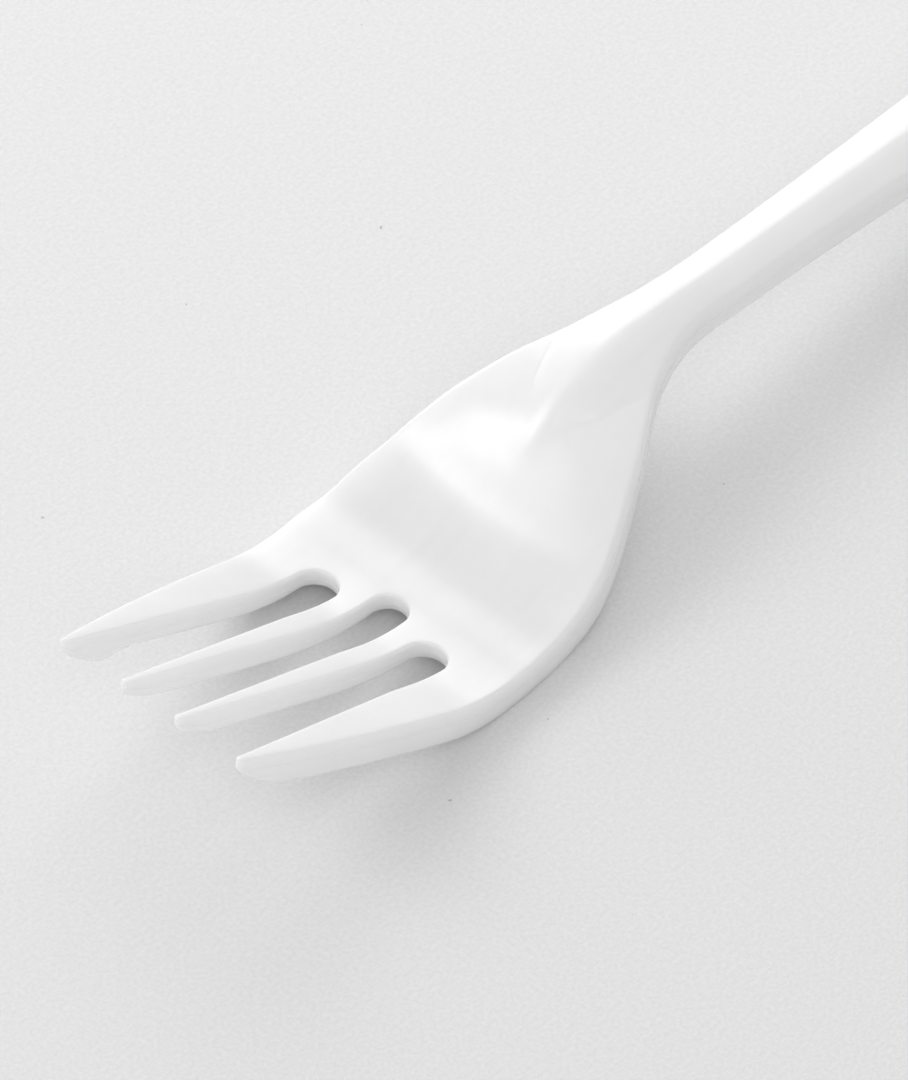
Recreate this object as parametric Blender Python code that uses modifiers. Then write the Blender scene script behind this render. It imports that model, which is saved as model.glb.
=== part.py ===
"""Disposable plastic fork with four tines, injection moulded in one piece.

The fork lies on a table at z = 0, its tines towards -X and its handle towards +X. It touches the
table under the dish of the head and under the end of the handle. Two mould halves make it: each is
a height above the table over one plan outline, and they meet at the parting line round the edge.
"""

import math

import bmesh
import bpy
import numpy as np
from mathutils import Vector
from mathutils.geometry import delaunay_2d_cdt

# Plan sizes. Distances along the fork are measured from the tips of the tines.
LENGTH = 0.165
HEAD_WIDTH = 0.0257
WIDEST_POINT = 0.0315
TINE_SPREAD = 0.02005
NECK_PLACE = 0.068
NECK_WIDTH = 0.0059
HANDLE_WIDTH_MIDDLE = 0.00885
HANDLE_WIDTH_END = 0.0118
END_ROUND = 0.0059

# Tines and the three slots between them
TIP_RADIUS = 0.00045
INNER_TIP_OFFSET = 0.00290
MIDDLE_SLOT_WIDTH = 0.00332
OUTER_SLOT_WIDTH = 0.00360
OUTER_SLOT_OFFSET = 0.00596
MIDDLE_SLOT_DEPTH = 0.0299
OUTER_SLOT_DEPTH = 0.0279
SLOT_FLARE_LENGTH = 0.020

# Heights of the upper face above the table
TIP_HEIGHT = 0.01565
TINE_STRAIGHT = 0.0225
LOW_POINT = 0.0299
DISH_TOP_PLACE = 0.0575
DISH_TOP_HEIGHT = 0.0124
DISH_FALL = 0.0016
LEAF_TIP = 0.0450
LEAF_TIP_HEIGHT = 0.00944
LEAF_ROOT_RUN = 0.0014
LEAF_ROOT_DROP = 0.0015
NECK_TOP = 0.0580
NECK_HEIGHT = 0.01445
NECK_FALL = 0.00105
CROWN_DROP = 0.0036
CROWN_LENGTH = 0.013
CROWN_LEAD = 0.00871
ROOF_SLOPE = 0.52
ROOF_SLOPE_END = 0.27
ROOF_RADIUS = 0.0007
CREASE_RADIUS = 0.00025

# Thickness of the moulding, square to its upper face
HEAD_WALL = 0.0033
SHOULDER_WALL = 0.0043
HANDLE_WALL = 0.00295
SHEET = 0.00185
TINE_THICKNESS = 0.0024
TIP_THICKNESS = 0.0013
TIP_NOSE = 0.0048
DEEP_TINE_SHARE = 0.6
RIB_WIDTH = 0.0014
RIB_SLOPE_WIDTH = 0.0008
PARTING_DEPTH = 0.00135
PARTING_SHARE = 0.55
EDGE_WIDTH_HEAD = 0.00036
EDGE_WIDTH_SHOULDER = 0.0009
EDGE_WIDTH_HANDLE = 0.00060
EDGE_WIDTH_UNDER = 0.00040
EDGE_POWER = 3.0

# Shapes of the curves, as shares of the way along and of the way across or up
SHOULDER_SHAPE = (
    (0.096, 0.979),
    (0.205, 0.945),
    (0.342, 0.808),
    (0.515, 0.522),
    (0.679, 0.189),
    (0.803, 0.045),
    (0.930, 0.0),
)
DISH_SHAPE = ((0.211, 0.040), (0.367, 0.247), (0.505, 0.575), (0.604, 0.780), (0.731, 0.914), (0.876, 0.997))
LEAF_SHAPE = ((0.123, 0.273), (0.330, 0.611), (0.569, 0.851), (0.862, 0.986))
NECK_SHAPE = ((0.4, 0.27),)
HANDLE_SHAPE = ((0.05, 0.05), (0.5, 0.51), (0.9, 0.91))

# Density of the mesh
EDGE_STEPS = 4
TINE_STEP = 0.0022
HEAD_STEP = 0.0016
HANDLE_STEP = 0.0065
ROUND_STEPS = 7
ROW_OFFSETS = (0.0006, 0.0014, 0.0024, 0.0036, 0.0050, 0.0066, 0.0084, 0.0104)
ROW_CLEARANCE = 0.0004
SLOPE_SPAN = 0.0005
CREASE_STEP = 0.0008

PLASTIC_WHITE = (0.87, 0.87, 0.86, 1.0)
PLASTIC_ROUGHNESS = 0.22


def smooth(value):
    """Ease from 0 to 1 with level ends."""
    t = np.clip(value, 0.0, 1.0)
    return t * t * (3.0 - 2.0 * t)


def curve_through(points):
    """Function of the distance from the tips: a cubic through the points, with no kink at them."""
    places, values = np.array(points, dtype=float).T
    slopes = np.gradient(values, places)

    def value_at(place):
        place = np.clip(place, places[0], places[-1])
        index = np.clip(np.searchsorted(places, place) - 1, 0, len(places) - 2)
        span = places[index + 1] - places[index]
        t = (place - places[index]) / span
        start = (1.0 + 2.0 * t) * (1.0 - t) ** 2 * values[index]
        stop = t * t * (3.0 - 2.0 * t) * values[index + 1]
        lift = t * (1.0 - t) ** 2 * span * slopes[index]
        fall = t * t * (1.0 - t) * span * slopes[index + 1]
        return start + stop + lift - fall

    return value_at


def between(start, stop, shape):
    """Points from start to stop, placed by their shares of the way along and of the way across."""
    run, rise = stop[0] - start[0], stop[1] - start[1]
    return [start] + [(start[0] + u * run, start[1] + v * rise) for u, v in shape] + [stop]


def width_points():
    """Half widths from the widest point over the shoulder to the neck, and on along the handle."""
    widest = (WIDEST_POINT, HEAD_WIDTH / 2.0)
    neck = (NECK_PLACE, NECK_WIDTH / 2.0)
    shoulder = between(widest, neck, [(along, 1.0 - across) for along, across in SHOULDER_SHAPE])
    middle = ((NECK_PLACE + LENGTH) / 2.0, HANDLE_WIDTH_MIDDLE / 2.0)
    return shoulder + [middle, (LENGTH, HANDLE_WIDTH_END / 2.0)]


handle_half_width = curve_through(width_points())


def side_half_width(place):
    """Half width of the head and the handle, with the handle's round end left out."""
    taper = (HEAD_WIDTH - TINE_SPREAD) / 2.0
    ahead = np.clip((WIDEST_POINT - place) / (WIDEST_POINT - TIP_RADIUS), 0.0, None)
    return np.where(place < WIDEST_POINT, HEAD_WIDTH / 2.0 - taper * ahead**2, handle_half_width(place))


def tine_height(place):
    """Height along a tine: a straight slope, then an arc that ends level at the low point."""
    slope = 2.0 * (TIP_HEIGHT - HEAD_WALL) / (LOW_POINT + TINE_STRAIGHT)
    bend = slope / 2.0 / (LOW_POINT - TINE_STRAIGHT)
    return np.where(
        place < TINE_STRAIGHT,
        TIP_HEIGHT - slope * place,
        HEAD_WALL + bend * np.clip(LOW_POINT - place, 0.0, None) ** 2,
    )


def dish_points():
    """Heights of the dish along the middle, from its low point up to the neck and down out of sight."""
    seen = between((LOW_POINT, HEAD_WALL), (DISH_TOP_PLACE, DISH_TOP_HEIGHT), DISH_SHAPE)
    return seen + [(NECK_PLACE, DISH_TOP_HEIGHT - DISH_FALL), (LENGTH, -LENGTH / 4.0)]


def crest_points():
    """Heights of the handle's ridge along the middle, from below the dish to the handle's end."""
    end_rise = ROOF_SLOPE_END * (math.hypot(HANDLE_WIDTH_END / 2.0, ROOF_RADIUS) - ROOF_RADIUS)
    hidden = [(0.0, -LENGTH / 4.0), (LEAF_TIP - LEAF_ROOT_RUN, LEAF_TIP_HEIGHT - LEAF_ROOT_DROP)]
    leaf = between((LEAF_TIP, LEAF_TIP_HEIGHT), (NECK_TOP, NECK_HEIGHT), LEAF_SHAPE)
    start, stop = (NECK_PLACE, NECK_HEIGHT - NECK_FALL), (LENGTH, HANDLE_WALL + end_rise)
    neck = between(leaf[-1], start, NECK_SHAPE)[1:-1]
    return hidden + leaf + neck + between(start, stop, HANDLE_SHAPE)


dish_rise = curve_through(dish_points())
crest_height = curve_through(crest_points())


def roof(place, offset):
    """Upper face of the handle: two flanks that fall away from a rounded ridge."""
    along = smooth((place - NECK_TOP) / (LENGTH - NECK_TOP))
    slope = ROOF_SLOPE + (ROOF_SLOPE_END - ROOF_SLOPE) * along
    return crest_height(place) - slope * (np.hypot(offset, ROOF_RADIUS) - ROOF_RADIUS)


def dish(place, offset):
    """Upper face of the head: level across the tines and crowned towards the neck."""
    middle = np.where(place < LOW_POINT, tine_height(place), dish_rise(place))
    share = smooth((place - LEAF_TIP + CROWN_LEAD) / CROWN_LENGTH)
    return middle - CROWN_DROP * share * (offset / (HEAD_WIDTH / 2.0)) ** 2


def upper_face(place, offset):
    """The higher of the roof and the dish, with a small radius in the crease between them."""
    a, b = roof(place, offset), dish(place, offset)
    return (a + b + np.hypot(a - b, 2.0 * CREASE_RADIUS)) / 2.0


def crease_line():
    """Plan points along the crease where the roof meets the dish, from the middle to the side."""
    places = np.arange(LEAF_TIP - CREASE_STEP, NECK_TOP, CREASE_STEP)
    offsets = np.linspace(0.0, HEAD_WIDTH / 2.0, 400)
    line = []
    for place in places:
        lead = roof(place, offsets) - dish(place, offsets)
        below = int(np.argmax(lead < 0.0))
        if lead[0] > 0.0 and below > 0:
            share = lead[below - 1] / (lead[below - 1] - lead[below])
            line.append((place, offsets[below - 1] + share * offsets[1]))
    return np.array(line).reshape(-1, 2)


def slant(place, offset):
    """How much longer a plumb line through the sheet is than its thickness, from its slope along X."""
    ahead = upper_face(place + SLOPE_SPAN, offset)
    behind = upper_face(place - SLOPE_SPAN, offset)
    return np.hypot(1.0, (ahead - behind) / (2.0 * SLOPE_SPAN))


def nose(place, thickness):
    """Round the lower half of a tine up to its tip."""
    back = np.clip(1.0 - place / TIP_NOSE, 0.0, 1.0) ** 2
    return thickness + (TIP_THICKNESS - thickness) * back


def blend(place, head, shoulder, handle):
    """Value at a place from its values on the head, at the shoulders and on the handle."""
    rise = smooth((place - WIDEST_POINT) / (LEAF_TIP - WIDEST_POINT))
    fall = smooth((place - LEAF_TIP) / (NECK_TOP - LEAF_TIP))
    return head + (shoulder - head) * rise + (handle - shoulder) * fall


def edge_thickness(place):
    """Thickness of the rib round the outside: deepest at the shoulders."""
    return nose(place, blend(place, HEAD_WALL, SHOULDER_WALL, HANDLE_WALL))


def edge_width(place):
    """Width of the rounded slope from the parting line up to the upper face: widest at the shoulders."""
    return blend(place, EDGE_WIDTH_HEAD, EDGE_WIDTH_SHOULDER, EDGE_WIDTH_HANDLE)


def sheet_thickness(place):
    """Thickness inside the outer rib: the inner tines are deeper than the dish behind them."""
    root = smooth((place / OUTER_SLOT_DEPTH - DEEP_TINE_SHARE) / (1.0 - DEEP_TINE_SHARE))
    return nose(place, TINE_THICKNESS + (SHEET - TINE_THICKNESS) * root)


def under_face(place, offset, inset):
    """Lower face: a rib round the outside and a thinner sheet within it."""
    side = side_half_width(place)
    rib = upper_face(place, side) - edge_thickness(place) * slant(place, side)
    sheet = upper_face(place, offset) - sheet_thickness(place) * slant(place, offset)
    return rib + (np.maximum(sheet, rib) - rib) * smooth((inset - RIB_WIDTH) / RIB_SLOPE_WIDTH)


def steps_between(start, stop, step):
    """Evenly spaced places from start to stop, with the stop left out."""
    count = max(2, round(abs(stop - start) / step))
    return np.linspace(start, stop, count, endpoint=False)


def arc(centre, radius_along, radius_across, start, stop, steps):
    """Points on an ellipse, angles in degrees from +X, with the last left out."""
    angles = np.radians(np.linspace(start, stop, steps, endpoint=False))
    return [
        (centre[0] + radius_along * math.cos(a), centre[1] + radius_across * math.sin(a)) for a in angles
    ]


def slot_side(place, root_offset, tip_offset):
    """Side of a slot: parallel at its closed end, then flaring towards the tips."""
    flare = np.clip(1.0 - place / SLOT_FLARE_LENGTH, 0.0, 1.0)
    return root_offset + (tip_offset - root_offset) * flare


def half_outline():
    """Plan outline of the +Y half, from the handle's end round the tines to the middle slot."""
    shoulder = LENGTH - END_ROUND
    end = arc((shoulder, 0.0), END_ROUND, float(side_half_width(shoulder)), 0.0, 90.0, ROUND_STEPS)
    side = np.concatenate(
        (
            steps_between(shoulder, NECK_PLACE, HANDLE_STEP),
            steps_between(NECK_PLACE, WIDEST_POINT, HEAD_STEP),
            steps_between(WIDEST_POINT, TIP_RADIUS, TINE_STEP),
        )
    )
    outer = list(end) + [(place, float(side_half_width(place))) for place in side]
    outer_tip = TINE_SPREAD / 2.0 - TIP_RADIUS
    outer_root = OUTER_SLOT_OFFSET + OUTER_SLOT_WIDTH / 2.0
    inner_root = OUTER_SLOT_OFFSET - OUTER_SLOT_WIDTH / 2.0
    outer_end = OUTER_SLOT_DEPTH - OUTER_SLOT_WIDTH / 2.0
    middle_end = MIDDLE_SLOT_DEPTH - MIDDLE_SLOT_WIDTH / 2.0
    inwards = steps_between(TIP_RADIUS, outer_end, TINE_STEP)
    outwards = steps_between(outer_end, TIP_RADIUS, TINE_STEP)
    last = steps_between(TIP_RADIUS, middle_end, TINE_STEP)
    slots = arc((TIP_RADIUS, outer_tip), TIP_RADIUS, TIP_RADIUS, 90.0, 270.0, ROUND_STEPS)
    slots += [(p, float(slot_side(p, outer_root, outer_tip - TIP_RADIUS))) for p in inwards]
    radius = OUTER_SLOT_WIDTH / 2.0
    slots += arc((outer_end, OUTER_SLOT_OFFSET), radius, radius, 90.0, -90.0, ROUND_STEPS + 2)
    slots += [(p, float(slot_side(p, inner_root, INNER_TIP_OFFSET + TIP_RADIUS))) for p in outwards]
    slots += arc((TIP_RADIUS, INNER_TIP_OFFSET), TIP_RADIUS, TIP_RADIUS, 90.0, 270.0, ROUND_STEPS)
    radius = MIDDLE_SLOT_WIDTH / 2.0
    slots += [(p, float(slot_side(p, radius, INNER_TIP_OFFSET - TIP_RADIUS))) for p in last]
    slots += arc((middle_end, 0.0), radius, radius, 90.0, 0.0, ROUND_STEPS // 2 + 1)
    slots += [(MIDDLE_SLOT_DEPTH, 0.0)]
    return np.array(outer + slots), len(outer) + ROUND_STEPS // 2 + 1


def inward_normals(outline):
    """Unit normals into the plastic at each outline point, the two end ones along X."""
    runs = np.diff(outline, axis=0)
    runs /= np.linalg.norm(runs, axis=1)[:, None]
    sides = np.column_stack((-runs[:, 1], runs[:, 0]))
    normals = np.vstack((sides[:1], sides[:-1] + sides[1:], sides[-1:]))
    normals /= np.linalg.norm(normals, axis=1)[:, None]
    normals[0] = (-1.0, 0.0)
    normals[-1] = (1.0, 0.0)
    return normals


def distance_to(points, line):
    """Distance in plan from each point to a chain of straight runs."""
    start, run = line[:-1], np.diff(line, axis=0)
    reach = np.maximum((run**2).sum(axis=1), 1e-18)
    away = points[:, None, :] - start[None, :, :]
    along = np.clip((away * run).sum(axis=2) / reach, 0.0, 1.0)
    return np.linalg.norm(away - along[:, :, None] * run, axis=2).min(axis=1)


def edge_profile(steps):
    """Pairs of inset and drop, both 0 to 1, from the parting line up to the face."""
    pairs = []
    for index in range(steps + 1):
        angle = math.pi / 2.0 * index / steps
        inset = 1.0 - math.cos(angle) ** (2.0 / EDGE_POWER) if index < steps else 1.0
        drop = 1.0 - math.sin(angle) ** (2.0 / EDGE_POWER)
        pairs.append((inset, drop))
    return pairs


def inner_points(ring, stations, lines):
    """Points within the ring and the links between them: along the given lines, and in rows between."""
    points, links = np.empty((0, 2)), []
    for line in lines:
        inside = is_inside(line, ring) & (distance_to(line, ring) > ROW_CLEARANCE)
        inside &= (line[:, 1] == 0.0) | (line[:, 1] > ROW_CLEARANCE)
        index = np.where(inside, np.cumsum(inside) - 1 + len(points), -1)
        links += [(a, b) for a, b in zip(index[:-1], index[1:]) if min(a, b) >= 0]
        points = np.vstack((points, line[inside]))
    rows = np.array((0.0,) + ROW_OFFSETS)
    grid = np.array([(place, offset) for place in stations for offset in rows])
    inside = is_inside(grid, ring)
    for line in [ring] + lines:
        inside &= distance_to(grid, line) > ROW_CLEARANCE
    index = np.where(inside, np.cumsum(inside) - 1 + len(points), -1).reshape(len(stations), len(rows))
    links += [(a, b) for a, b in zip(index[:-1].flat, index[1:].flat) if min(a, b) >= 0]
    links += [(a, b) for a, b in zip(index[:, :-1].flat, index[:, 1:].flat) if min(a, b) >= 0]
    points = np.vstack((points, grid[inside]))
    return points, [pair for pair in links if not crosses(points, pair, lines)]


def crosses(points, pair, lines):
    """True where the link between two points runs across one of the lines."""
    start, run = points[pair[0]], points[pair[1]] - points[pair[0]]
    for line in lines:
        sides = np.cross(run, line - start)
        ahead, behind = line[:-1], np.diff(line, axis=0)
        first, last = np.cross(behind, start - ahead), np.cross(behind, start + run - ahead)
        if ((sides[:-1] * sides[1:] < 0.0) & (first * last < -1e-18)).any():
            return True
    return False


def is_inside(points, ring):
    """True for points within the ring, closed along the middle line."""
    start, stop = ring, np.roll(ring, -1, axis=0)
    x, y = points[:, 0:1], points[:, 1:2] + 1e-9
    spans = (start[:, 1] > y) != (stop[:, 1] > y)
    rise = np.where(stop[:, 1] == start[:, 1], 1.0, stop[:, 1] - start[:, 1])
    crossing = start[:, 0] + (y - start[:, 1]) * (stop[:, 0] - start[:, 0]) / rise
    return (spans & (x < crossing)).sum(axis=1) % 2 == 1


def add_sheet(mesh, outline, normals, rim, widths, stations, lines, height_at):
    """One mould half: bands round the edge and a triangulated face within them."""
    previous = rim
    for inset, drop in edge_profile(EDGE_STEPS)[1:]:
        ring = outline + normals * (widths * inset)[:, None]
        heights = height_at(ring, drop)
        current = [mesh.verts.new((p[0], p[1], z)) for p, z in zip(ring, heights)]
        for i in range(len(ring) - 1):
            mesh.faces.new((previous[i], previous[i + 1], current[i + 1], current[i]))
        previous = current
    points, links = inner_points(ring, stations, lines)
    flat = [Vector(p) for p in np.vstack((ring, points))]
    shift = len(ring)
    middle = np.flatnonzero(points[:, 1] == 0.0)
    middle = middle[np.argsort(points[middle, 0])]
    loop = list(range(shift)) + [shift + int(i) for i in middle]
    edges = [(int(a) + shift, int(b) + shift) for a, b in links]
    result = delaunay_2d_cdt(flat, edges, [loop], 1, 1e-7)
    places = np.array([(p.x, p.y) for p in result[0]])
    corners = []
    for sources, place, height in zip(result[3], places, height_at(places, 0.0)):
        on_ring = [i for i in sources if i < shift]
        new = previous[on_ring[0]] if on_ring else mesh.verts.new((place[0], place[1], height))
        corners.append(new)
    for face in result[2]:
        mesh.faces.new([corners[i] for i in face])


def build_half():
    """The +Y half of the fork as one open mesh, its two mould halves joined at the parting line."""
    outline, outer_count = half_outline()
    normals = inward_normals(outline)
    outer_line = outline[:outer_count]
    stations = np.concatenate(
        (
            steps_between(0.0, WIDEST_POINT, TINE_STEP),
            steps_between(WIDEST_POINT, NECK_PLACE, HEAD_STEP),
            steps_between(NECK_PLACE, LENGTH - END_ROUND, HANDLE_STEP),
            steps_between(LENGTH - END_ROUND, LENGTH, END_ROUND / 3.0),
        )
    )
    mesh = bmesh.new()

    def faces_at(points):
        place, offset = points[:, 0], points[:, 1]
        top = upper_face(place, offset)
        under = under_face(place, offset, distance_to(points, outer_line))
        return top, under, np.minimum(PARTING_DEPTH, PARTING_SHARE * (top - under))

    def top_height(points, drop):
        top, _, depth = faces_at(points)
        return top - depth * drop

    def under_height(points, drop):
        top, under, depth = faces_at(points)
        return under + (top - depth - under) * drop

    rim = [mesh.verts.new((p[0], p[1], z)) for p, z in zip(outline, top_height(outline, 1.0))]
    inwards = normals[:outer_count]
    rib_lines = [outer_line + inwards * inset for inset in (RIB_WIDTH, RIB_WIDTH + RIB_SLOPE_WIDTH)]
    under_width = np.full(len(outline), EDGE_WIDTH_UNDER)
    add_sheet(mesh, outline, normals, rim, edge_width(outline[:, 0]), stations, [crease_line()], top_height)
    above = len(mesh.faces)
    add_sheet(mesh, outline, normals, rim, under_width, stations, rib_lines, under_height)
    mesh.normal_update()
    mesh.faces.ensure_lookup_table()
    turned = [f for f in mesh.faces if (f.normal.z < 0.0) == (f.index < above)]
    bmesh.ops.reverse_faces(mesh, faces=turned)
    bmesh.ops.translate(mesh, verts=mesh.verts, vec=(-LENGTH / 2.0, 0.0, 0.0))
    return mesh


def plastic():
    """White glossy plastic."""
    material = bpy.data.materials.new("white_plastic")
    material.use_nodes = True
    shader = material.node_tree.nodes["Principled BSDF"]
    shader.inputs["Base Color"].default_value = PLASTIC_WHITE
    shader.inputs["Roughness"].default_value = PLASTIC_ROUGHNESS
    shader.inputs["Metallic"].default_value = 0.0
    return material


def build_fork(collection):
    """The fork as one object: the modelled half and its mirror image."""
    mesh = build_half()
    data = bpy.data.meshes.new("fork")
    mesh.to_mesh(data)
    mesh.free()
    data.materials.append(plastic())
    data.shade_smooth()
    fork = bpy.data.objects.new("fork", data)
    collection.objects.link(fork)
    mirror = fork.modifiers.new("other_half", "MIRROR")
    mirror.use_axis = (False, True, False)
    mirror.use_clip = True
    mirror.merge_threshold = 0.00001
    return fork


def main():
    for thing in list(bpy.data.objects):
        bpy.data.objects.remove(thing, do_unlink=True)
    collection = bpy.data.collections.new("plastic_fork")
    bpy.context.scene.collection.children.link(collection)
    build_fork(collection)


main()
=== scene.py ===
"""Looks of the plastic fork: its fine mesh and plastic, the floor, the light and the camera."""

import math

import bmesh
import bpy
import numpy as np
from mathutils import Matrix, Vector
from mathutils.geometry import delaunay_2d_cdt


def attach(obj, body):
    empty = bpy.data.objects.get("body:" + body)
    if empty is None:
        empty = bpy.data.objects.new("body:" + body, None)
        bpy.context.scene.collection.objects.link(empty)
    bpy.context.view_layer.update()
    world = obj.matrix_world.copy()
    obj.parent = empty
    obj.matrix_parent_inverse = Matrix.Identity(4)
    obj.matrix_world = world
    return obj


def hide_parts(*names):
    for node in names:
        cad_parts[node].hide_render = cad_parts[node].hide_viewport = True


# Camera, matched to the photograph
PHOTO_HEIGHT = 1080
SENSOR = 36.0
VIEW_AZIMUTH = 47.867
VIEW_ELEVATION = 47.118
VIEW_DISTANCE = 1.2
VIEW_TARGET = (-0.046223, 0.0, 0.005316)
PIXELS_PER_METRE = 12277.0
CLIP_START = 0.01
CLIP_END = 20.0

# Plastic: its greys, its roughness and the depths of its marks
PLASTIC_GREYS = (0.895, 0.925)
PLASTIC_ROUGHNESS = (0.19, 0.26)
PLASTIC_IOR = 1.59
GLOW_WEIGHT = 0.7
GLOW_REACH = 0.0035
CLOUD_SCALE = 140.0
GLOSS_SCALE = 900.0
FLOW_STRETCH = (26.0, 330.0, 26.0)
FLOW_FACTORS = (0.50, 0.70)
FLOW_GREY = 0.972
FLOW_DEPTH = 0.00004
PEEL_SCALE = 520.0
PEEL_DEPTH = 0.00002
PEEL_STRENGTH = 0.35
GRAIN_SCALE = 6000.0
GRAIN_DEPTH = 0.000003
GRAIN_STRENGTH = 0.4

# Floor card: its size, its greys and its grain
FLOOR_REACH = 1.5
FLOOR_CELLS = 24
FLOOR_DROP = 0.00002
CARD_GREYS = (0.79, 0.85)
CARD_ROUGHNESS = 0.62
CARD_IOR = 1.4
CARD_SCALE = 2600.0
CARD_BUMP_SCALE = 3500.0
CARD_BUMP_DEPTH = 0.00008
CARD_BUMP_STRENGTH = 0.5
SPECK_SCALE = 620.0
SPECK_FACTORS = (0.80, 0.83)
SPECK_GREY = 0.55

# Light all round
SURROUND_STRENGTH = 0.53

# The fork's own sizes, the same as in the part
LENGTH = 0.165
HEAD_WIDTH = 0.0257
WIDEST_POINT = 0.0315
TINE_SPREAD = 0.02005
NECK_PLACE = 0.068
NECK_WIDTH = 0.0059
HANDLE_WIDTH_MIDDLE = 0.00885
HANDLE_WIDTH_END = 0.0118
END_ROUND = 0.0059
TIP_RADIUS = 0.00045
INNER_TIP_OFFSET = 0.00290
MIDDLE_SLOT_WIDTH = 0.00332
OUTER_SLOT_WIDTH = 0.00360
OUTER_SLOT_OFFSET = 0.00596
MIDDLE_SLOT_DEPTH = 0.0299
OUTER_SLOT_DEPTH = 0.0279
SLOT_FLARE_LENGTH = 0.020
TIP_HEIGHT = 0.01565
TINE_STRAIGHT = 0.0225
LOW_POINT = 0.0299
DISH_TOP_PLACE = 0.0575
DISH_TOP_HEIGHT = 0.0124
DISH_FALL = 0.0016
LEAF_TIP = 0.0450
LEAF_TIP_HEIGHT = 0.00944
LEAF_ROOT_RUN = 0.0014
LEAF_ROOT_DROP = 0.0015
NECK_TOP = 0.0580
NECK_HEIGHT = 0.01445
NECK_FALL = 0.00105
CROWN_DROP = 0.0036
CROWN_LENGTH = 0.013
CROWN_LEAD = 0.00871
ROOF_SLOPE = 0.52
ROOF_SLOPE_END = 0.27
ROOF_RADIUS = 0.0007
CREASE_RADIUS = 0.00025
HEAD_WALL = 0.0033
SHOULDER_WALL = 0.0043
HANDLE_WALL = 0.00295
SHEET = 0.00185
TINE_THICKNESS = 0.0024
TIP_THICKNESS = 0.0013
TIP_NOSE = 0.0048
DEEP_TINE_SHARE = 0.6
RIB_WIDTH = 0.0014
RIB_SLOPE_WIDTH = 0.0008
PARTING_DEPTH = 0.00135
PARTING_SHARE = 0.55
EDGE_WIDTH_HEAD = 0.00036
EDGE_WIDTH_SHOULDER = 0.0009
EDGE_WIDTH_HANDLE = 0.00060
EDGE_WIDTH_UNDER = 0.00040
EDGE_POWER = 3.0
SHOULDER_SHAPE = (
    (0.096, 0.979),
    (0.205, 0.945),
    (0.342, 0.808),
    (0.515, 0.522),
    (0.679, 0.189),
    (0.803, 0.045),
    (0.930, 0.0),
)
DISH_SHAPE = (
    (0.211, 0.040),
    (0.367, 0.247),
    (0.505, 0.575),
    (0.604, 0.780),
    (0.731, 0.914),
    (0.876, 0.997),
)
LEAF_SHAPE = ((0.123, 0.273), (0.330, 0.611), (0.569, 0.851), (0.862, 0.986))
NECK_SHAPE = ((0.4, 0.27),)
HANDLE_SHAPE = ((0.05, 0.05), (0.5, 0.51), (0.9, 0.91))

# Forms too fine for the part: the ledge at the parting line and the groove in the crease
PARTING_STEP = 0.00004
GROOVE_DEPTH = 0.00012
GROOVE_RISE = 0.00016
GROOVE_START = 0.0470
GROOVE_STOP = 0.0550
GROOVE_EASE = 0.0030

# Density of the fine mesh
EDGE_STEPS = 7
UNDER_STEPS = 6
FINE_STEP = 0.0005
HANDLE_STEP = 0.0012
TIP_STEPS = 14
ROUND_STEPS = 18
ROW_STEP = 0.0005
ROW_CLEARANCE = 0.00019
CREASE_OFFSETS = (-0.00035, -0.00012, 0.00012, 0.00035)
CREASE_STEP = 0.00035
CREASE_LEAD = 0.004
CREASE_TIP_LEAD = 0.0002
CREASE_SAMPLES = 1201
SLOPE_SPAN = 0.0005
SHARP_ANGLE = 50.0

# Limits of the mesh arithmetic
POINTS_AT_ONCE = 500
LEAST_SQUARE = 1e-18
LINE_SHIFT = 1e-9
SAME_POINT = 1e-8
SEAM_REACH = 1e-7
SEAM_MERGE = 1e-6


def smooth(value):
    """Ease from 0 to 1 with level ends."""
    t = np.clip(value, 0.0, 1.0)
    return t * t * (3.0 - 2.0 * t)


def curve_through(points):
    """Function of the distance from the tips: a cubic through the points, with no kink at them."""
    places, values = np.array(points, dtype=float).T
    slopes = np.gradient(values, places)

    def value_at(place):
        place = np.clip(place, places[0], places[-1])
        index = np.clip(np.searchsorted(places, place) - 1, 0, len(places) - 2)
        span = places[index + 1] - places[index]
        t = (place - places[index]) / span
        start = (1.0 + 2.0 * t) * (1.0 - t) ** 2 * values[index]
        stop = t * t * (3.0 - 2.0 * t) * values[index + 1]
        lift = t * (1.0 - t) ** 2 * span * slopes[index]
        fall = t * t * (1.0 - t) * span * slopes[index + 1]
        return start + stop + lift - fall

    return value_at


def between(start, stop, shape):
    """Points from start to stop, placed by their shares of the way along and of the way across."""
    run, rise = stop[0] - start[0], stop[1] - start[1]
    return [start] + [(start[0] + u * run, start[1] + v * rise) for u, v in shape] + [stop]


def width_points():
    """Half widths from the widest point over the shoulder to the neck, and on along the handle."""
    widest = (WIDEST_POINT, HEAD_WIDTH / 2.0)
    neck = (NECK_PLACE, NECK_WIDTH / 2.0)
    shoulder = between(widest, neck, [(along, 1.0 - across) for along, across in SHOULDER_SHAPE])
    middle = ((NECK_PLACE + LENGTH) / 2.0, HANDLE_WIDTH_MIDDLE / 2.0)
    return shoulder + [middle, (LENGTH, HANDLE_WIDTH_END / 2.0)]


handle_half_width = curve_through(width_points())


def side_half_width(place):
    """Half width of the head and the handle, with the handle's round end left out."""
    taper = (HEAD_WIDTH - TINE_SPREAD) / 2.0
    ahead = np.clip((WIDEST_POINT - place) / (WIDEST_POINT - TIP_RADIUS), 0.0, None)
    head = HEAD_WIDTH / 2.0 - taper * ahead**2
    return np.where(place < WIDEST_POINT, head, handle_half_width(place))


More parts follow.
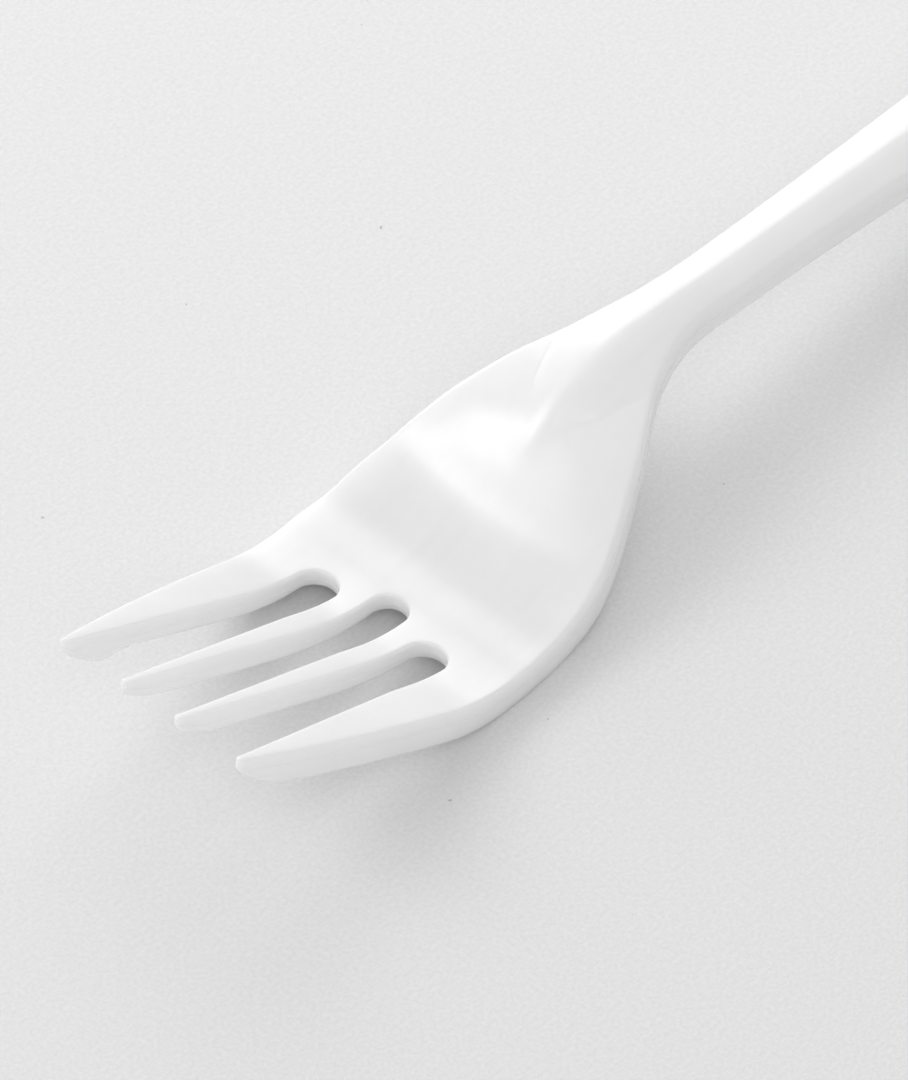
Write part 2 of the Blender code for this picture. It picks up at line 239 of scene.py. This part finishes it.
def tine_height(place):
    """Height along a tine: a straight slope, then an arc that ends level at the low point."""
    slope = 2.0 * (TIP_HEIGHT - HEAD_WALL) / (LOW_POINT + TINE_STRAIGHT)
    bend = slope / 2.0 / (LOW_POINT - TINE_STRAIGHT)
    return np.where(
        place < TINE_STRAIGHT,
        TIP_HEIGHT - slope * place,
        HEAD_WALL + bend * np.clip(LOW_POINT - place, 0.0, None) ** 2,
    )


def dish_points():
    """Heights of the dish along the middle, from its low point to the neck and down out of sight."""
    seen = between((LOW_POINT, HEAD_WALL), (DISH_TOP_PLACE, DISH_TOP_HEIGHT), DISH_SHAPE)
    return seen + [(NECK_PLACE, DISH_TOP_HEIGHT - DISH_FALL), (LENGTH, -LENGTH / 4.0)]


def crest_points():
    """Heights of the handle's ridge along the middle, from below the dish to the handle's end."""
    end_rise = ROOF_SLOPE_END * (math.hypot(HANDLE_WIDTH_END / 2.0, ROOF_RADIUS) - ROOF_RADIUS)
    hidden = [(0.0, -LENGTH / 4.0), (LEAF_TIP - LEAF_ROOT_RUN, LEAF_TIP_HEIGHT - LEAF_ROOT_DROP)]
    leaf = between((LEAF_TIP, LEAF_TIP_HEIGHT), (NECK_TOP, NECK_HEIGHT), LEAF_SHAPE)
    start = (NECK_PLACE, NECK_HEIGHT - NECK_FALL)
    neck = between(leaf[-1], start, NECK_SHAPE)[1:-1]
    stop = (LENGTH, HANDLE_WALL + end_rise)
    return hidden + leaf + neck + between(start, stop, HANDLE_SHAPE)


dish_rise = curve_through(dish_points())
crest_height = curve_through(crest_points())


def roof(place, offset):
    """Upper face of the handle: two flanks that fall away from a rounded ridge."""
    along = smooth((place - NECK_TOP) / (LENGTH - NECK_TOP))
    slope = ROOF_SLOPE + (ROOF_SLOPE_END - ROOF_SLOPE) * along
    return crest_height(place) - slope * (np.hypot(offset, ROOF_RADIUS) - ROOF_RADIUS)


def dish(place, offset):
    """Upper face of the head: level across the tines and crowned towards the neck."""
    middle = np.where(place < LOW_POINT, tine_height(place), dish_rise(place))
    share = smooth((place - LEAF_TIP + CROWN_LEAD) / CROWN_LENGTH)
    return middle - CROWN_DROP * share * (offset / (HEAD_WIDTH / 2.0)) ** 2


def upper_face(place, offset):
    """The higher of the roof and the dish, with a small radius in the crease between them."""
    a, b = roof(place, offset), dish(place, offset)
    return (a + b + np.hypot(a - b, 2.0 * CREASE_RADIUS)) / 2.0


def crease_groove(place, offset):
    """Depth of the fine groove along the middle of the crease."""
    lead = roof(place, offset) - dish(place, offset)
    ease_in = smooth((place - GROOVE_START) / GROOVE_EASE)
    ease_out = smooth((GROOVE_STOP - place) / GROOVE_EASE)
    return GROOVE_DEPTH * ease_in * ease_out * np.exp(-((lead / GROOVE_RISE) ** 2))


def slant(place, offset):
    """How much longer a plumb line through the sheet is than its thickness, from its slope."""
    ahead = upper_face(place + SLOPE_SPAN, offset)
    behind = upper_face(place - SLOPE_SPAN, offset)
    return np.hypot(1.0, (ahead - behind) / (2.0 * SLOPE_SPAN))


def nose(place, thickness):
    """Round the lower half of a tine up to its tip."""
    back = np.clip(1.0 - place / TIP_NOSE, 0.0, 1.0) ** 2
    return thickness + (TIP_THICKNESS - thickness) * back


def blend(place, head, shoulder, handle):
    """Value at a place from its values on the head, at the shoulders and on the handle."""
    rise = smooth((place - WIDEST_POINT) / (LEAF_TIP - WIDEST_POINT))
    fall = smooth((place - LEAF_TIP) / (NECK_TOP - LEAF_TIP))
    return head + (shoulder - head) * rise + (handle - shoulder) * fall


def edge_thickness(place):
    """Thickness of the rib round the outside: deepest at the shoulders."""
    return nose(place, blend(place, HEAD_WALL, SHOULDER_WALL, HANDLE_WALL))


def edge_width(place):
    """Width of the rounded slope above the parting line: widest at the shoulders."""
    return blend(place, EDGE_WIDTH_HEAD, EDGE_WIDTH_SHOULDER, EDGE_WIDTH_HANDLE)


def sheet_thickness(place):
    """Thickness inside the outer rib: the inner tines are deeper than the dish behind them."""
    root = smooth((place / OUTER_SLOT_DEPTH - DEEP_TINE_SHARE) / (1.0 - DEEP_TINE_SHARE))
    return nose(place, TINE_THICKNESS + (SHEET - TINE_THICKNESS) * root)


def under_face(place, offset, inset):
    """Lower face: a rib round the outside and a thinner sheet within it."""
    side = side_half_width(place)
    rib = upper_face(place, side) - edge_thickness(place) * slant(place, side)
    sheet = upper_face(place, offset) - sheet_thickness(place) * slant(place, offset)
    return rib + (np.maximum(sheet, rib) - rib) * smooth((inset - RIB_WIDTH) / RIB_SLOPE_WIDTH)


def steps_between(start, stop, step):
    """Evenly spaced places from start to stop, with the stop left out."""
    count = max(2, round(abs(stop - start) / step))
    return np.linspace(start, stop, count, endpoint=False)


def arc(centre, radius_along, radius_across, start, stop, steps):
    """Points on an ellipse, angles in degrees from +X, with the last left out."""
    x, y = centre
    angles = np.radians(np.linspace(start, stop, steps, endpoint=False))
    return [(x + radius_along * math.cos(a), y + radius_across * math.sin(a)) for a in angles]


def slot_side(place, root_offset, tip_offset):
    """Side of a slot: parallel at its closed end, then flaring towards the tips."""
    flare = np.clip(1.0 - place / SLOT_FLARE_LENGTH, 0.0, 1.0)
    return root_offset + (tip_offset - root_offset) * flare


def half_outline():
    """Plan outline of the +Y half, from the handle's end to the middle slot, and its outer count."""
    shoulder = LENGTH - END_ROUND
    end = arc((shoulder, 0.0), END_ROUND, float(side_half_width(shoulder)), 0.0, 90.0, ROUND_STEPS)
    side = np.concatenate(
        (
            steps_between(shoulder, NECK_PLACE, HANDLE_STEP),
            steps_between(NECK_PLACE, WIDEST_POINT, FINE_STEP),
            steps_between(WIDEST_POINT, TIP_RADIUS, FINE_STEP),
        )
    )
    outer = list(end) + [(place, float(side_half_width(place))) for place in side]
    outer_tip = TINE_SPREAD / 2.0 - TIP_RADIUS
    outer_root = OUTER_SLOT_OFFSET + OUTER_SLOT_WIDTH / 2.0
    inner_root = OUTER_SLOT_OFFSET - OUTER_SLOT_WIDTH / 2.0
    outer_end = OUTER_SLOT_DEPTH - OUTER_SLOT_WIDTH / 2.0
    middle_end = MIDDLE_SLOT_DEPTH - MIDDLE_SLOT_WIDTH / 2.0
    inwards = steps_between(TIP_RADIUS, outer_end, FINE_STEP)
    outwards = steps_between(outer_end, TIP_RADIUS, FINE_STEP)
    last = steps_between(TIP_RADIUS, middle_end, FINE_STEP)
    slots = arc((TIP_RADIUS, outer_tip), TIP_RADIUS, TIP_RADIUS, 90.0, 270.0, TIP_STEPS)
    slots += [(p, float(slot_side(p, outer_root, outer_tip - TIP_RADIUS))) for p in inwards]
    radius = OUTER_SLOT_WIDTH / 2.0
    slots += arc((outer_end, OUTER_SLOT_OFFSET), radius, radius, 90.0, -90.0, ROUND_STEPS)
    slots += [(p, float(slot_side(p, inner_root, INNER_TIP_OFFSET + TIP_RADIUS))) for p in outwards]
    slots += arc((TIP_RADIUS, INNER_TIP_OFFSET), TIP_RADIUS, TIP_RADIUS, 90.0, 270.0, TIP_STEPS)
    radius = MIDDLE_SLOT_WIDTH / 2.0
    slots += [(p, float(slot_side(p, radius, INNER_TIP_OFFSET - TIP_RADIUS))) for p in last]
    slots += arc((middle_end, 0.0), radius, radius, 90.0, 0.0, ROUND_STEPS // 2)
    slots += [(MIDDLE_SLOT_DEPTH, 0.0)]
    return np.array(outer + slots), len(outer) + TIP_STEPS // 2 + 1


def inward_normals(outline):
    """Unit normals into the plastic at each outline point, the two end ones along X."""
    runs = np.diff(outline, axis=0)
    runs /= np.linalg.norm(runs, axis=1)[:, None]
    sides = np.column_stack((-runs[:, 1], runs[:, 0]))
    normals = np.vstack((sides[:1], sides[:-1] + sides[1:], sides[-1:]))
    normals /= np.linalg.norm(normals, axis=1)[:, None]
    normals[0] = (-1.0, 0.0)
    normals[-1] = (1.0, 0.0)
    return normals


def distance_to(points, line):
    """Distance in plan from each point to a chain of straight runs."""
    start, run = line[:-1], np.diff(line, axis=0)
    reach = np.maximum((run**2).sum(axis=1), LEAST_SQUARE)
    found = []
    for part in np.array_split(points, max(1, len(points) // POINTS_AT_ONCE)):
        away = part[:, None, :] - start[None, :, :]
        along = np.clip((away * run).sum(axis=2) / reach, 0.0, 1.0)
        found.append(np.linalg.norm(away - along[:, :, None] * run, axis=2).min(axis=1))
    return np.concatenate(found)


def is_inside(points, ring):
    """True for points within the ring, closed along the middle line."""
    start, stop = ring, np.roll(ring, -1, axis=0)
    rise = np.where(stop[:, 1] == start[:, 1], 1.0, stop[:, 1] - start[:, 1])
    found = []
    for part in np.array_split(points, max(1, len(points) // POINTS_AT_ONCE)):
        x, y = part[:, 0:1], part[:, 1:2] + LINE_SHIFT
        spans = (start[:, 1] > y) != (stop[:, 1] > y)
        crossing = start[:, 0] + (y - start[:, 1]) * (stop[:, 0] - start[:, 0]) / rise
        found.append((spans & (x < crossing)).sum(axis=1) % 2 == 1)
    return np.concatenate(found)


def edge_profile(steps):
    """Pairs of inset and drop, both 0 to 1, from the parting line up to the face."""
    pairs = []
    for index in range(steps + 1):
        angle = math.pi / 2.0 * index / steps
        inset = 1.0 - math.cos(angle) ** (2.0 / EDGE_POWER) if index < steps else 1.0
        drop = 1.0 - math.sin(angle) ** (2.0 / EDGE_POWER)
        pairs.append((inset, drop))
    return pairs


def crease_lines():
    """Plan lines along the crease where the roof meets the dish, and just beside it."""
    places = np.arange(LEAF_TIP - CREASE_LEAD, NECK_TOP, CREASE_STEP)
    offsets = np.linspace(0.0, HEAD_WIDTH / 2.0, CREASE_SAMPLES)
    grid_place, grid_offset = np.meshgrid(places, offsets, indexing="ij")
    gap = roof(grid_place, grid_offset) - dish(grid_place, grid_offset)
    points = []
    for place, row in zip(places, gap):
        below = int(np.argmax(row < 0.0))
        if row[0] <= 0.0 or below == 0:
            continue
        share = row[below - 1] / (row[below - 1] - row[below])
        points.append((place, offsets[below - 1] + share * offsets[1]))
    line = np.array(points)
    tip = np.array([[line[0, 0] - CREASE_TIP_LEAD, 0.0]])
    line = np.vstack((tip, line))
    runs = np.gradient(line, axis=0)
    sides = np.column_stack((-runs[:, 1], runs[:, 0])) / np.linalg.norm(runs, axis=1)[:, None]
    lines = [line[1:]]
    for offset in CREASE_OFFSETS:
        lines.append((line + sides * offset)[3:])
    return lines


def inner_points(ring, stations, rows, lines):
    """Points within the ring and the links along the given lines."""
    points, links = np.empty((0, 2)), []
    for line in lines:
        clear = (distance_to(line, ring) > ROW_CLEARANCE) & (line[:, 1] > ROW_CLEARANCE)
        inside = is_inside(line, ring) & clear
        index = np.where(inside, np.cumsum(inside) - 1 + len(points), -1)
        links += [(int(a), int(b)) for a, b in zip(index[:-1], index[1:]) if min(a, b) >= 0]
        points = np.vstack((points, line[inside]))
    grid = np.array([(place, offset) for place in stations for offset in rows])
    grid = grid[is_inside(grid, ring)]
    for line in [ring] + lines:
        grid = grid[distance_to(grid, line) > ROW_CLEARANCE]
    return np.vstack((points, grid)), links


def add_face(mesh, corners, ring, stations, rows, lines, height_at):
    """Fill the ring with a fine triangulated face at the given heights."""
    points, links = inner_points(ring, stations, rows, lines)
    flat = [Vector(p) for p in np.vstack((ring, points))]
    shift = len(ring)
    middle = np.flatnonzero(points[:, 1] == 0.0)
    middle = middle[np.argsort(points[middle, 0])]
    loop = list(range(shift)) + [shift + int(i) for i in middle]
    edges = [(a + shift, b + shift) for a, b in links]
    result = delaunay_2d_cdt(flat, edges, [loop], 1, SAME_POINT)
    places = np.array([(p.x, p.y) for p in result[0]])
    verts = []
    for sources, place, height in zip(result[3], places, height_at(places, 0.0)):
        on_ring = [i for i in sources if i < shift]
        if on_ring:
            verts.append(corners[on_ring[0]])
        else:
            verts.append(mesh.verts.new((place[0], place[1], height)))
    for face in result[2]:
        mesh.faces.new([verts[i] for i in face])


def add_bands(mesh, first, outline, normals, widths, steps, height_at):
    """Bands of the rounded edge from the parting line to the face."""
    previous, ring = first, outline
    for inset, drop in edge_profile(steps)[1:]:
        ring = outline + normals * (widths * inset)[:, None]
        current = [mesh.verts.new((p[0], p[1], z)) for p, z in zip(ring, height_at(ring, drop))]
        for i in range(len(ring) - 1):
            mesh.faces.new((previous[i], previous[i + 1], current[i + 1], current[i]))
        previous = current
    return previous, ring


def add_object(name, data):
    """Put a mesh, a light or a camera into the scene as an object."""
    thing = bpy.data.objects.new(name, data)
    bpy.context.scene.collection.objects.link(thing)
    return thing


def build_half():
    """The +Y half of the fork as one open mesh."""
    outline, outer_count = half_outline()
    normals = inward_normals(outline)
    outer_line = outline[:outer_count]
    stations = np.concatenate(
        (
            steps_between(0.0, NECK_PLACE, FINE_STEP),
            steps_between(NECK_PLACE, LENGTH, HANDLE_STEP),
        )
    )
    rows = np.arange(0.0, HEAD_WIDTH / 2.0, ROW_STEP)
    mesh = bmesh.new()

    def faces_at(points):
        """Heights of the upper and the lower face, and the parting line's depth below the upper."""
        place, offset = points[:, 0], points[:, 1]
        top = upper_face(place, offset)
        under = under_face(place, offset, distance_to(points, outer_line))
        top -= crease_groove(place, offset)
        return top, under, np.minimum(PARTING_DEPTH, PARTING_SHARE * (top - under))

    def top_height(points, drop):
        top, _, depth = faces_at(points)
        return top - depth * drop

    def under_height(points, drop):
        top, under, depth = faces_at(points)
        return under + (top - depth - under) * drop

    rim = top_height(outline, 1.0)
    lower_rim = [mesh.verts.new((p[0], p[1], z)) for p, z in zip(outline, rim)]
    stepped = outline + normals * PARTING_STEP
    upper_rim = [mesh.verts.new((p[0], p[1], z)) for p, z in zip(stepped, rim)]
    for i in range(len(outline) - 1):
        mesh.faces.new((lower_rim[i], lower_rim[i + 1], upper_rim[i + 1], upper_rim[i]))
    inwards = normals[:outer_count]
    rib_lines = [outer_line + inwards * inset for inset in (RIB_WIDTH, RIB_WIDTH + RIB_SLOPE_WIDTH)]
    widths = edge_width(outline[:, 0]) - PARTING_STEP
    corners, ring = add_bands(mesh, upper_rim, stepped, normals, widths, EDGE_STEPS, top_height)
    add_face(mesh, corners, ring, stations, rows, crease_lines(), top_height)
    above = len(mesh.faces)
    widths = np.full(len(outline), EDGE_WIDTH_UNDER)
    corners, ring = add_bands(mesh, lower_rim, outline, normals, widths, UNDER_STEPS, under_height)
    add_face(mesh, corners, ring, stations, rows, rib_lines, under_height)
    mesh.normal_update()
    mesh.faces.ensure_lookup_table()
    turned = [f for f in mesh.faces if (f.normal.z < 0.0) == (f.index < above)]
    bmesh.ops.reverse_faces(mesh, faces=turned)
    bmesh.ops.translate(mesh, verts=mesh.verts, vec=(-LENGTH / 2.0, 0.0, 0.0))
    return mesh


def build_fork():
    """The fork as one closed mesh: the half, its mirror image and one seam between them."""
    mesh = build_half()
    copied = bmesh.ops.duplicate(mesh, geom=mesh.verts[:] + mesh.edges[:] + mesh.faces[:])
    verts = [v for v in copied["geom"] if isinstance(v, bmesh.types.BMVert)]
    faces = [f for f in copied["geom"] if isinstance(f, bmesh.types.BMFace)]
    bmesh.ops.scale(mesh, verts=verts, vec=(1.0, -1.0, 1.0))
    bmesh.ops.reverse_faces(mesh, faces=faces)
    seam = [v for v in mesh.verts if abs(v.co.y) < SEAM_REACH]
    bmesh.ops.remove_doubles(mesh, verts=seam, dist=SEAM_MERGE)
    data = bpy.data.meshes.new("fork_moulding")
    mesh.to_mesh(data)
    mesh.free()
    data.shade_smooth()
    data.set_sharp_from_angle(angle=math.radians(SHARP_ANGLE))
    return add_object("fork_moulding", data)


class Nodes:
    """Short calls to make and link the nodes of one material."""

    def __init__(self, name):
        self.material = bpy.data.materials.new(name)
        self.material.use_nodes = True
        self.tree = self.material.node_tree
        self.shader = self.tree.nodes["Principled BSDF"]
        self.coordinates = self.tree.nodes.new("ShaderNodeTexCoord").outputs["Object"]

    def noise(self, scale, detail, roughness=0.5, stretch=None):
        """Noise in the object's own place, drawn out by the stretch along each axis."""
        node = self.tree.nodes.new("ShaderNodeTexNoise")
        node.inputs["Scale"].default_value = scale
        node.inputs["Detail"].default_value = detail
        node.inputs["Roughness"].default_value = roughness
        place = self.coordinates
        if stretch:
            mapping = self.tree.nodes.new("ShaderNodeMapping")
            mapping.inputs["Scale"].default_value = stretch
            self.tree.links.new(place, mapping.inputs["Vector"])
            place = mapping.outputs["Vector"]
        self.tree.links.new(place, node.inputs["Vector"])
        return node.outputs["Fac"]

    def spread(self, source, low, high, start=0.3, stop=0.7):
        """The source, with its range from start to stop spread over low to high."""
        node = self.tree.nodes.new("ShaderNodeMapRange")
        node.inputs["From Min"].default_value = start
        node.inputs["From Max"].default_value = stop
        node.inputs["To Min"].default_value = low
        node.inputs["To Max"].default_value = high
        self.tree.links.new(source, node.inputs["Value"])
        return node.outputs["Result"]

    def ramp(self, source, greys, places=(0.35, 0.65)):
        """A grey between the two, by the source."""
        node = self.tree.nodes.new("ShaderNodeValToRGB")
        for element, grey, place in zip(node.color_ramp.elements, greys, places):
            element.color = (grey, grey, grey, 1.0)
            element.position = place
        self.tree.links.new(source, node.inputs["Fac"])
        return node.outputs["Color"]

    def shade(self, colour, factor, amount):
        """The colour, darkened to a share of itself where the factor is 1."""
        node = self.tree.nodes.new("ShaderNodeMix")
        node.data_type = "RGBA"
        node.blend_type = "MULTIPLY"
        colours = [socket for socket in node.inputs if socket.type == "RGBA"]
        colours[1].default_value = (amount, amount, amount, 1.0)
        self.tree.links.new(factor, node.inputs["Factor"])
        self.tree.links.new(colour, colours[0])
        return [socket for socket in node.outputs if socket.type == "RGBA"][0]

    def bump(self, source, distance, strength, after=None):
        """Normals of a surface raised by the source, on top of an earlier bump."""
        node = self.tree.nodes.new("ShaderNodeBump")
        node.inputs["Distance"].default_value = distance
        node.inputs["Strength"].default_value = strength
        self.tree.links.new(source, node.inputs["Height"])
        if after is not None:
            self.tree.links.new(after, node.inputs["Normal"])
        return node.outputs["Normal"]

    def feed(self, socket, source):
        """Link a source to one socket of the shader."""
        self.tree.links.new(source, self.shader.inputs[socket])

    def fix(self, **values):
        """Set values that are the same all over on the shader's own sockets."""
        for name, value in values.items():
            self.shader.inputs[name.replace("_", " ")].default_value = value


def plastic_material():
    """Glossy white moulded plastic: faintly cloudy, with flow marks and a soft orange peel."""
    nodes = Nodes("white_plastic")
    cloud = nodes.ramp(nodes.noise(CLOUD_SCALE, detail=3.0), PLASTIC_GREYS)
    flow = nodes.noise(1.0, detail=2.0, stretch=FLOW_STRETCH)
    streaks = nodes.spread(flow, 0.0, 1.0, *FLOW_FACTORS)
    nodes.feed("Base Color", nodes.shade(cloud, streaks, FLOW_GREY))
    gloss = nodes.noise(GLOSS_SCALE, detail=3.0)
    nodes.feed("Roughness", nodes.spread(gloss, *PLASTIC_ROUGHNESS))
    marks = nodes.bump(flow, FLOW_DEPTH, 1.0)
    peel = nodes.bump(nodes.noise(PEEL_SCALE, detail=2.0), PEEL_DEPTH, PEEL_STRENGTH, marks)
    grain = nodes.bump(nodes.noise(GRAIN_SCALE, detail=2.0), GRAIN_DEPTH, GRAIN_STRENGTH, peel)
    nodes.feed("Normal", grain)
    nodes.fix(IOR=PLASTIC_IOR, Subsurface_Weight=GLOW_WEIGHT, Subsurface_Scale=GLOW_REACH)
    nodes.shader.inputs["Subsurface Radius"].default_value = (1.0, 1.0, 1.0)
    return nodes.material


def floor_material():
    """Pale matte card with a fine grain and a few dark specks."""
    nodes = Nodes("pale_card")
    grain = nodes.ramp(nodes.noise(CARD_SCALE, detail=4.0, roughness=0.6), CARD_GREYS)
    specks = nodes.spread(nodes.noise(SPECK_SCALE, detail=1.0), 0.0, 1.0, *SPECK_FACTORS)
    nodes.feed("Base Color", nodes.shade(grain, specks, SPECK_GREY))
    fibres = nodes.noise(CARD_BUMP_SCALE, detail=4.0)
    nodes.feed("Normal", nodes.bump(fibres, CARD_BUMP_DEPTH, CARD_BUMP_STRENGTH))
    nodes.fix(Roughness=CARD_ROUGHNESS, IOR=CARD_IOR)
    return nodes.material


def floor():
    """The card that the fork lies on, a hair under the height of the table."""
    mesh = bmesh.new()
    bmesh.ops.create_grid(mesh, x_segments=FLOOR_CELLS, y_segments=FLOOR_CELLS, size=FLOOR_REACH)
    data = bpy.data.meshes.new("floor")
    mesh.to_mesh(data)
    mesh.free()
    data.materials.append(floor_material())
    thing = add_object("floor", data)
    thing.location.z = -FLOOR_DROP
    return thing


def aim(thing, place, target):
    """Put a light or camera at a place, turned towards the target, with its top up."""
    thing.location = place
    thing.rotation_euler = (Vector(target) - Vector(place)).to_track_quat("-Z", "Y").to_euler()


def direction(azimuth, elevation):
    """Unit vector at degrees round from +Y towards +X, and up."""
    a, e = math.radians(azimuth), math.radians(elevation)
    return Vector((math.sin(a) * math.cos(e), math.cos(a) * math.cos(e), math.sin(e)))


def soft_light(name, bearing, elevation, distance, size, power, turn=0.0):
    """A rectangular area light, its bearing and turn in degrees, the bearing from the view's own."""
    data = bpy.data.lights.new(name, "AREA")
    data.shape = "RECTANGLE"
    data.size, data.size_y = size
    data.energy = power
    thing = add_object(name, data)
    away = direction(VIEW_AZIMUTH + bearing, elevation) * distance
    aim(thing, Vector(VIEW_TARGET) + away, VIEW_TARGET)
    thing.rotation_euler.rotate_axis("Z", math.radians(turn))


def studio():
    """A near key behind the fork, two softboxes at its left, weak fills and a pale surround."""
    soft_light("key", -1.0, 34.0, distance=0.45, size=(0.34, 0.28), power=0.55)
    soft_light("left", -86.0, 40.0, distance=0.75, size=(0.36, 0.18), power=0.60, turn=30.0)
    soft_light("left_wide", -88.0, 42.0, distance=0.78, size=(0.72, 0.36), power=0.85, turn=30.0)
    soft_light("front", 180.0, 50.0, distance=1.4, size=(1.0, 0.8), power=3.6)
    soft_light("back", -22.0, 9.0, distance=0.9, size=(1.0, 0.26), power=1.2)
    world = bpy.data.worlds.new("surround")
    world.use_nodes = True
    background = world.node_tree.nodes["Background"]
    background.inputs["Color"].default_value = (1.0, 1.0, 1.0, 1.0)
    background.inputs["Strength"].default_value = SURROUND_STRENGTH
    bpy.context.scene.world = world


def camera():
    """The photograph's view, from far off with a long lens."""
    data = bpy.data.cameras.new("camera")
    data.sensor_width = SENSOR
    data.lens = SENSOR * PIXELS_PER_METRE * VIEW_DISTANCE / PHOTO_HEIGHT
    data.clip_start = CLIP_START
    data.clip_end = CLIP_END
    thing = add_object("camera", data)
    a, e = math.radians(VIEW_AZIMUTH), math.radians(VIEW_ELEVATION)
    back = Vector((-math.sin(a) * math.cos(e), -math.cos(a) * math.cos(e), math.sin(e)))
    right = Vector((math.cos(a), -math.sin(a), 0.0))
    up = back.cross(right)
    turn = Matrix((right, up, back)).transposed().to_4x4()
    thing.matrix_world = Matrix.Translation(Vector(VIEW_TARGET) + back * VIEW_DISTANCE) @ turn
    bpy.context.scene.camera = thing


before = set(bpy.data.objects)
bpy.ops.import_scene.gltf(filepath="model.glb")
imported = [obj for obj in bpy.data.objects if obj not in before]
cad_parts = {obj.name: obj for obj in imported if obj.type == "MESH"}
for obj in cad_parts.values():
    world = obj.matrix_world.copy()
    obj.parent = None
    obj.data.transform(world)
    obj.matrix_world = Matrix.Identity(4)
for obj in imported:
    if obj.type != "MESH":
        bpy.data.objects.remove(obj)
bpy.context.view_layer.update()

fork = build_fork()
fork.data.materials.append(plastic_material())
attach(fork, "root")
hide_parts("fork")
floor()
studio()
camera()
bpy.context.scene.view_settings.view_transform = "Standard"
